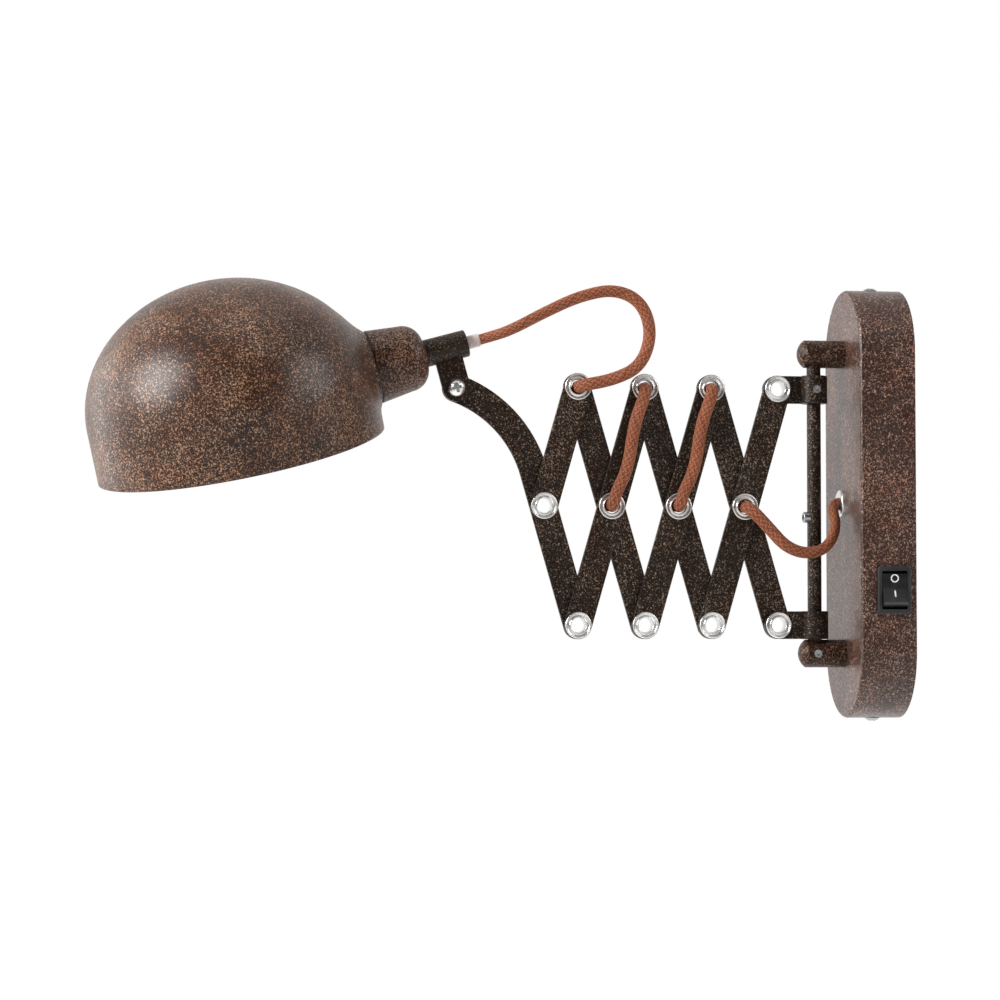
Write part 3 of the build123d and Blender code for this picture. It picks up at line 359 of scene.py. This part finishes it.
knuckle_enamel = fleck_enamel(
    "knuckle_enamel", ARM_GRAIN, (0.0085, 0.0048, 0.0026), (0.030, 0.019, 0.012), (0.205, 0.148, 0.110),
    threshold=0.545, lacquer=0.04,
)
nickel = bright_plate("nickel", (0.70, 0.69, 0.67), 0.24, 0.38)
screw_steel = bright_plate("screw_steel", (0.36, 0.36, 0.37), 0.20, 0.34)
zinc = bright_plate("zinc", (0.58, 0.59, 0.61), 0.28, 0.46)
brass = bright_plate("brass", (0.72, 0.50, 0.20), 0.18, 0.34)
black_moulding = moulded_plastic("black_moulding", (0.006, 0.006, 0.007), 0.36, 0.50)
rocker_moulding = moulded_plastic("rocker_moulding", (0.004, 0.004, 0.005), 0.22, 0.34)
natural_nylon = moulded_plastic("natural_nylon", (0.74, 0.72, 0.66), 0.40, 0.55)
wire_jacket = moulded_plastic("wire_jacket", (0.20, 0.085, 0.035), 0.38, 0.50)
braid = braid_cloth("braid")
sleeving = clear_sleeving("sleeving")
inner_enamel = white_enamel("inner_enamel")
switch_ink = printed_white("switch_ink")

SLOT_MATERIALS = {
    "shade_paint": shade_enamel,
    "arm_paint": arm_enamel,
    "plated": nickel,
    "zinc": zinc,
    "black_plastic": black_moulding,
    "rocker_plastic": rocker_moulding,
    "brass": brass,
    "braid": braid,
    "clear_sleeve": sleeving,
    "white_plastic": natural_nylon,
    "wire_plastic": wire_jacket,
}
for part in frame["record"]["subparts"]:
    slots = frame["nodes"][part["node"]].data.materials
    slots.clear()
    slots.append(SLOT_MATERIALS[part["material_slot"]])
NODE_MATERIALS = {
    "socket_cup": cup_enamel,
    "knuckle": knuckle_enamel,
    "wall_cover": plate_enamel,
    "post_upper": cup_enamel,
    "post_lower": cup_enamel,
    "cover_screws": screw_steel,
    "rod_set_screw": zinc,
    "collar_set_screw": zinc,
    "stop_screw": screw_steel,
}
for node, material in NODE_MATERIALS.items():
    frame["nodes"][node].data.materials[0] = material


# Pieces


def add_piece(name, bm, *materials):
    """Finish a bmesh as a smooth-shaded object at the origin."""
    bmesh.ops.recalc_face_normals(bm, faces=bm.faces)
    mesh = bpy.data.meshes.new(name)
    bm.to_mesh(mesh)
    bm.free()
    mesh.shade_smooth()
    for material in materials:
        mesh.materials.append(material)
    piece = bpy.data.objects.new(name, mesh)
    bpy.context.scene.collection.objects.link(piece)
    return piece


# Cord


def smooth_line(points):
    """Points of the smooth line that has a route's points as its controls."""
    curve = bpy.data.curves.new("route", "CURVE")
    curve.dimensions = "3D"
    curve.resolution_u = ROUTE_RESOLUTION
    spline = curve.splines.new("NURBS")
    spline.points.add(len(points) - 1)
    for point, place in zip(spline.points, points):
        point.co = (*place, 1)
    spline.order_u = 3
    spline.use_endpoint_u = True
    holder = bpy.data.objects.new("route", curve)
    mesh = bpy.data.meshes.new_from_object(holder)
    line = [vertex.co.copy() for vertex in mesh.vertices]
    bpy.data.objects.remove(holder)
    bpy.data.curves.remove(curve)
    bpy.data.meshes.remove(mesh)
    return line


def even_stations(line):
    """The line's points at even steps, with the line's direction at each."""
    lengths = [0.0]
    for first, second in zip(line, line[1:]):
        lengths.append(lengths[-1] + (second - first).length)
    count = round(lengths[-1] / CORD_STEP)
    stations = []
    index = 0
    for step in range(count + 1):
        target = lengths[-1] * step / count
        while index < len(line) - 2 and lengths[index + 1] < target:
            index += 1
        run = line[index + 1] - line[index]
        share = (target - lengths[index]) / max(run.length, 1e-9)
        stations.append((line[index] + share * run, run.normalized()))
    return stations


def carried_normals(stations, first):
    """Cross directions that turn with the line and don't twist about it."""
    normals = []
    normal = first
    for _, ahead in stations:
        normal = (normal - normal.dot(ahead) * ahead).normalized()
        normals.append(normal)
    return normals


def braid_height(around, along):
    """Height and strand number of the braid: each strand runs over and under the ones that cross it."""
    right = BRAID_STRANDS * around + along / BRAID_LAY
    left = BRAID_STRANDS * around - along / BRAID_LAY
    over = (floor(right) + floor(left)) % 2 == 0
    strand = right if over else left
    return abs(sin(pi * strand)), floor(strand) % BRAID_STRANDS + (0 if over else 0.5)


def cord_tube(name, stations, normals, start, rolls):
    """Oval braided tube on the stations. rolls turns the oval from the first to the last station."""
    bm = bmesh.new()
    rows = len(stations) - 1
    bmesh.ops.create_grid(bm, x_segments=CORD_SIDES, y_segments=rows, size=0.5)
    braid_gap_shade = bm.verts.layers.float.new("braid_gap_shade")
    tone = bm.verts.layers.float.new("tone")
    for vert in bm.verts:
        around = vert.co.x + 0.5
        row = round((vert.co.y + 0.5) * rows)
        place, ahead = stations[row]
        roll = rolls[0] + (rolls[1] - rolls[0]) * row / rows
        side = normals[row]
        other = ahead.cross(side)
        angle = 2 * pi * around
        height, strand = braid_height(around % 1.0, start + row * CORD_STEP)
        x = (CORD_WIDTH / 2 - BRAID_RELIEF * (1 - height)) * cos(angle)
        y = (CORD_HEIGHT / 2 - BRAID_RELIEF * (1 - height)) * sin(angle)
        across = x * cos(roll) - y * sin(roll)
        up = x * sin(roll) + y * cos(roll)
        vert.co = place + across * side + up * other
        # Painted shade factor: low in the gaps between strands, where the braid material darkens the yarn.
        vert[braid_gap_shade] = BRAID_GAP_SHADE + (1 - BRAID_GAP_SHADE) * height
        vert[tone] = (BRAID_TONE_STEP * strand) % 1.0
    bmesh.ops.remove_doubles(bm, verts=bm.verts, dist=1e-7)
    bmesh.ops.holes_fill(bm, edges=[edge for edge in bm.edges if edge.is_boundary], sides=0)
    tube = add_piece(name, bm, braid)
    return tube


def head_point(u, x):
    """Place of a point at U along the head's tube and X across it."""
    return HEAD_ORIGIN + Vector((x, u * cos(HEAD_TILT), u * sin(HEAD_TILT)))


def beside(place, steps):
    return [place + Vector(step) for step in steps]


# Eyelets that the cord goes through, in the middle and top rows, counted from the head
middle = {row: pivot[f"cross_{row}"] for row in (1, 2, 3, 4)}
half_step = (middle[4].y - middle[3].y) / 2
top = {row: Vector((0, place.y + half_step, pivot["slide_lug"].z)) for row, place in middle.items()}


def two_stretches(names, route, rolls, node):
    """Cord that hangs free between bodies joined by two joints: one stretch for each joint, split at the middle of
    the cord.
    """
    stations = even_stations(smooth_line(route))
    normals = carried_normals(stations, Vector((1, 0, 0)).cross(stations[0][1]).normalized())
    last = len(stations) - 1
    split = round(STRETCH_SPLIT * last)
    middle_roll = rolls[0] + (rolls[1] - rolls[0]) * STRETCH_SPLIT
    parts = (slice(0, split + 1), slice(split, None))
    roll_pairs = ((rolls[0], middle_roll), (middle_roll, rolls[1]))
    for index, (name, part) in enumerate(zip(names, parts)):
        tube = cord_tube(name, stations[part], normals[part], index * split * CORD_STEP, roll_pairs[index])
        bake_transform(tube)
        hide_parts(node)


def head_loop():
    route = [
        head_point(SLEEVE_MOUTH, 0), head_point(SLEEVE_MOUTH + 0.0048, 0.0012),
        head_point(SLEEVE_MOUTH + 0.0132, 0.0095),
        *beside(top[1], [
            (0.0112, -0.0158, 0.0324), (0.0112, -0.0007, 0.0395), (0.0112, 0.0151, 0.0430),
            (0.0108, 0.0274, 0.0373), (0.0102, 0.0320, 0.0236), (0.0096, 0.0273, 0.0090),
            (0.0090, 0.0150, 0.0028), (0.0088, 0, 0), (0, 0, 0),
        ]),
    ]
    two_stretches(
        ("cord_loop_head", "cord_loop_arm"), route,
        rolls=(1.3, 0.1), node="cord_head_loop",
    )


def wall_drape():
    route = [
        *beside(middle[4], [
            (0, 0, 0), (0.0088, 0, 0), (0.0096, 0.0090, -0.0096), (0.0098, 0.0165, -0.0180),
            (0.0092, 0.0262, -0.0214),
        ]),
        Vector((0.0096, ROD_Y + 0.0033, -0.0206)), Vector((0.0096, ROD_Y + 0.0080, -0.0110)),
        Vector((0.0011, GLAND_MOUTH_Y - 0.0035, -0.0005)), Vector((0, GLAND_MOUTH_Y, 0)),
    ]
    two_stretches(
        ("cord_drape_arm", "cord_drape_wall"), route,
        rolls=(0.2, 1.2), node="cord_wall_drape",
    )


def strand(name, start, end, side, bow, body):
    """Cord from one eyelet to the next, in front of a link or behind it, a little slack."""
    out = Vector((side * STRAND_STAND, 0, 0))
    along = (end - start).normalized()
    across = Vector((0, -along.z, along.y))
    route = [
        start, start + out,
        start + out + STRAND_STAND * along - STRAND_START_DIP * bow * across,
        start + out + STRAND_BOW_AT * (end - start) + bow * across,
        start + out + STRAND_RETURN_AT * (end - start) - STRAND_RETURN_DIP * bow * across,
        end + out - STRAND_STAND * along, end + out, end,
    ]
    stations = even_stations(smooth_line(route))
    normals = carried_normals(stations, Vector((0, 0, 1)))
    tube = cord_tube(f"{name}_braid", stations, normals, 0.0, STRAND_ROLLS)
    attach(tube, body)
    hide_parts(name)


head_loop()
wall_drape()
for row in (2, 3, 4):
    strand(f"cord_back_{row}", top[row - 1], middle[row], -1, BACK_BOW, f"back_{row}")
for row in (2, 3):
    strand(f"cord_front_{row}", middle[row], top[row], 1, FRONT_BOW, f"front_{row}")


# Shade


def shade_surface(x, u, w):
    """Below 0 inside the shade: a pitched dome over a straight skirt, softly joined to the flared neck."""
    out = hypot(x, u * cos(SHADE_PITCH) - w * sin(SHADE_PITCH) - SHADE_AXIS_U)
    rise = u * sin(SHADE_PITCH) + w * cos(SHADE_PITCH)
    if rise > SHADE_SHOULDER:
        dome = SHADE_RADIUS * (hypot(out / SHADE_RADIUS, (rise - SHADE_SHOULDER) / SHADE_DOME_HEIGHT) - 1)
    else:
        dome = out - SHADE_RADIUS
    share = min(max(1 + u / NECK_FLARE_LENGTH, 0.0), NECK_LONGEST_SHARE)
    flare = NECK_FLARE_RADIUS + share * (NECK_RADIUS - NECK_FLARE_RADIUS)
    if share < 1:
        flare -= 4 * NECK_FLARE_SAG * share * (1 - share)
    neck = max(hypot(x, w) - flare, u - NECK_TOP_U, NECK_FOOT_U - u)
    overlap = max(NECK_BLEND - abs(dome - neck), 0.0)
    joined = min(dome, neck) - overlap * overlap / (4 * NECK_BLEND)
    return max(joined, SHADE_RIM - RIM_SPARE - rise)


def reach_to_surface(direction):
    """Distance from the middle of the shade to its surface along a direction."""
    near = 0.0
    far = SHADE_FARTHEST
    for _ in range(SURFACE_HALVINGS):
        half = (near + far) / 2
        if shade_surface(half * direction.x, SHADE_AXIS_U + half * direction.y, half * direction.z) < 0:
            near = half
        else:
            far = half
    return near


def spun_shade():
    bm = bmesh.new()
    bmesh.ops.create_uvsphere(bm, u_segments=SHADE_MERIDIANS, v_segments=SHADE_RINGS, radius=1.0)
    bmesh.ops.rotate(bm, verts=bm.verts, cent=(0, 0, 0), matrix=Matrix.Rotation(-pi / 2, 3, "X"))
    for vert in bm.verts:
        direction = vert.co.normalized()
        vert.co = reach_to_surface(direction) * direction + Vector((0, SHADE_AXIS_U, 0))
    upright = Vector((0, sin(SHADE_PITCH), cos(SHADE_PITCH)))
    for place, normal in (((0, 0, 0), (0, 1, 0)), (SHADE_RIM * upright, -upright)):
        bmesh.ops.bisect_plane(
            bm, geom=[*bm.verts, *bm.edges, *bm.faces], dist=1e-6, plane_co=place, plane_no=normal,
            clear_outer=True,
        )
    mouth = [edge for edge in bm.edges if edge.is_boundary and all(abs(v.co.y) < 1e-5 for v in edge.verts)]
    grown = bmesh.ops.extrude_edge_only(bm, edges=mouth)["geom"]
    for vert in grown:
        if isinstance(vert, bmesh.types.BMVert):
            shrink = NECK_HOLE / hypot(vert.co.x, vert.co.z)
            vert.co = (vert.co.x * shrink, 0, vert.co.z * shrink)
    place = Matrix.Translation(HEAD_ORIGIN) @ Matrix.Rotation(HEAD_TILT, 4, "X")
    bmesh.ops.transform(bm, matrix=place @ Matrix.Rotation(SHADE_LEAN, 4, "Y"), verts=bm.verts)
    piece = add_piece("shade_spun", bm, shade_enamel, inner_enamel)
    wall = piece.modifiers.new("wall", "SOLIDIFY")
    wall.thickness = SHADE_WALL
    wall.offset = -1
    wall.material_offset = 1
    wall.material_offset_rim = 0
    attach(piece, "head")
    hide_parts("shade")


spun_shade()


# Switch marks


def stand_up(bm):
    """Turn what lies in the plane Z = 0 into the plane X = 0."""
    bmesh.ops.rotate(bm, verts=bm.verts, cent=(0, 0, 0), matrix=Matrix.Rotation(pi / 2, 3, "Y"))


def raise_mark(name, bm, place):
    """Give a flat mark a thin body of ink, put it on the rocker and let it move with it."""
    bmesh.ops.recalc_face_normals(bm, faces=bm.faces)
    grown = bmesh.ops.extrude_face_region(bm, geom=list(bm.faces))["geom"]
    bmesh.ops.translate(
        bm, vec=(MARK_RAISE, 0, 0), verts=[item for item in grown if isinstance(item, bmesh.types.BMVert)],
    )
    bmesh.ops.transform(bm, matrix=place, verts=bm.verts)
    mark = add_piece(name, bm, switch_ink)
    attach(mark, "rocker")


def off_mark():
    bm = bmesh.new()
    loops = []
    for radius in (OFF_MARK_INNER, OFF_MARK_OUTER):
        circle = bmesh.ops.create_circle(bm, segments=OFF_MARK_SEGMENTS, radius=radius)["verts"]
        loops += list({edge for vert in circle for edge in vert.link_edges})
    bmesh.ops.bridge_loops(bm, edges=loops)
    stand_up(bm)
    face = pivot["switch_rock"] + Vector((ROCKER_FACE, 0, OFF_MARK_RISE))
    raise_mark("switch_mark_off", bm, Matrix.Translation(face))


def on_mark():
    bm = bmesh.new()
    bmesh.ops.create_grid(bm, x_segments=1, y_segments=1, size=0.5)
    stand_up(bm)
    bmesh.ops.scale(bm, vec=(1, ON_MARK_WIDTH, ON_MARK_HEIGHT), verts=bm.verts)
    ridge = Matrix.Translation(pivot["switch_rock"] + Vector((ROCKER_FACE, 0, ROCKER_RIDGE)))
    lean = Matrix.Rotation(-ROCKER_LOWER_SLOPE, 4, "Y")
    raise_mark("switch_mark_on", bm, ridge @ lean @ Matrix.Translation((0, 0, -ON_MARK_DROP)))


off_mark()
on_mark()


# Stage, light and camera


def pale_floor():
    bm = bmesh.new()
    bmesh.ops.create_grid(bm, x_segments=1, y_segments=1, size=FLOOR_REACH)
    bmesh.ops.translate(bm, vec=(0, 0, FLOOR_Z), verts=bm.verts)
    material, tree, shader = new_material("pale_floor")
    wire_up(tree, shader, {
        "Base Color": (0.90, 0.90, 0.90, 1), "Roughness": 0.9,
        "Emission Color": (1, 1, 1, 1), "Emission Strength": FLOOR_GLOW,
    })
    add_piece("floor", bm, material)


def place_facing(holder, target, distance, azimuth, elevation):
    """Put a light or a camera at a distance from the target, looking at it."""
    level = cos(elevation)
    back = Vector((sin(azimuth) * level, -cos(azimuth) * level, sin(elevation)))
    holder.location = target + distance * back
    holder.rotation_euler = back.to_track_quat("Z", "Y").to_euler()
    bpy.context.scene.collection.objects.link(holder)


def softbox(name, target, azimuth, elevation, distance, size, power):
    """Square area light that looks at the target."""
    light = bpy.data.lights.new(name, "AREA")
    light.shape = "SQUARE"
    light.size = size
    light.energy = power
    holder = bpy.data.objects.new(name, light)
    place_facing(holder, target, distance, radians(azimuth), radians(elevation))


def white_room(seen, front, back):
    """World that the camera sees as white. It lights the lamp less from the photographer's side."""
    world = bpy.data.worlds.new("white_room")
    world.use_nodes = True
    tree = world.node_tree
    background = tree.nodes["Background"]
    way = shader_node(tree, "ShaderNodeTexCoord", {}).outputs["Generated"]
    across = shader_node(tree, "ShaderNodeSeparateXYZ", {"Vector": way}).outputs["X"]
    felt = shader_node(tree, "ShaderNodeMapRange", {
        "Value": across, "From Min": -1.0, "From Max": 1.0, "To Min": back, "To Max": front,
    })
    path = shader_node(tree, "ShaderNodeLightPath", {})
    strength = shader_node(tree, "ShaderNodeMapRange", {
        "Value": path.outputs["Is Camera Ray"], "To Min": felt.outputs["Result"], "To Max": seen,
    })
    background.inputs["Color"].default_value = (1, 1, 1, 1)
    tree.links.new(strength.outputs["Result"], background.inputs["Strength"])
    bpy.context.scene.world = world


def photo_camera():
    camera = bpy.data.cameras.new("photo_camera")
    camera.lens = CAMERA_LENS
    camera.sensor_width = SENSOR_WIDTH
    holder = bpy.data.objects.new("photo_camera", camera)
    place_facing(holder, CAMERA_TARGET, CAMERA_DISTANCE, CAMERA_AZIMUTH, CAMERA_ELEVATION)
    bpy.context.scene.camera = holder


pale_floor()
white_room(seen=1.0, front=0.06, back=1.05)
lamp_middle = (cad_box[0] + cad_box[1]) / 2
softbox("key_light", lamp_middle, azimuth=20, elevation=23, distance=1.3, size=0.65, power=29)
softbox("left_light", lamp_middle, azimuth=-25, elevation=8, distance=1.4, size=1.0, power=10)
softbox("top_light", lamp_middle, azimuth=100, elevation=78, distance=1.2, size=1.0, power=3)
softbox("wall_side_light", lamp_middle, azimuth=150, elevation=25, distance=1.5, size=0.9, power=13)
photo_camera()
bpy.context.scene.view_settings.view_transform = "Standard"
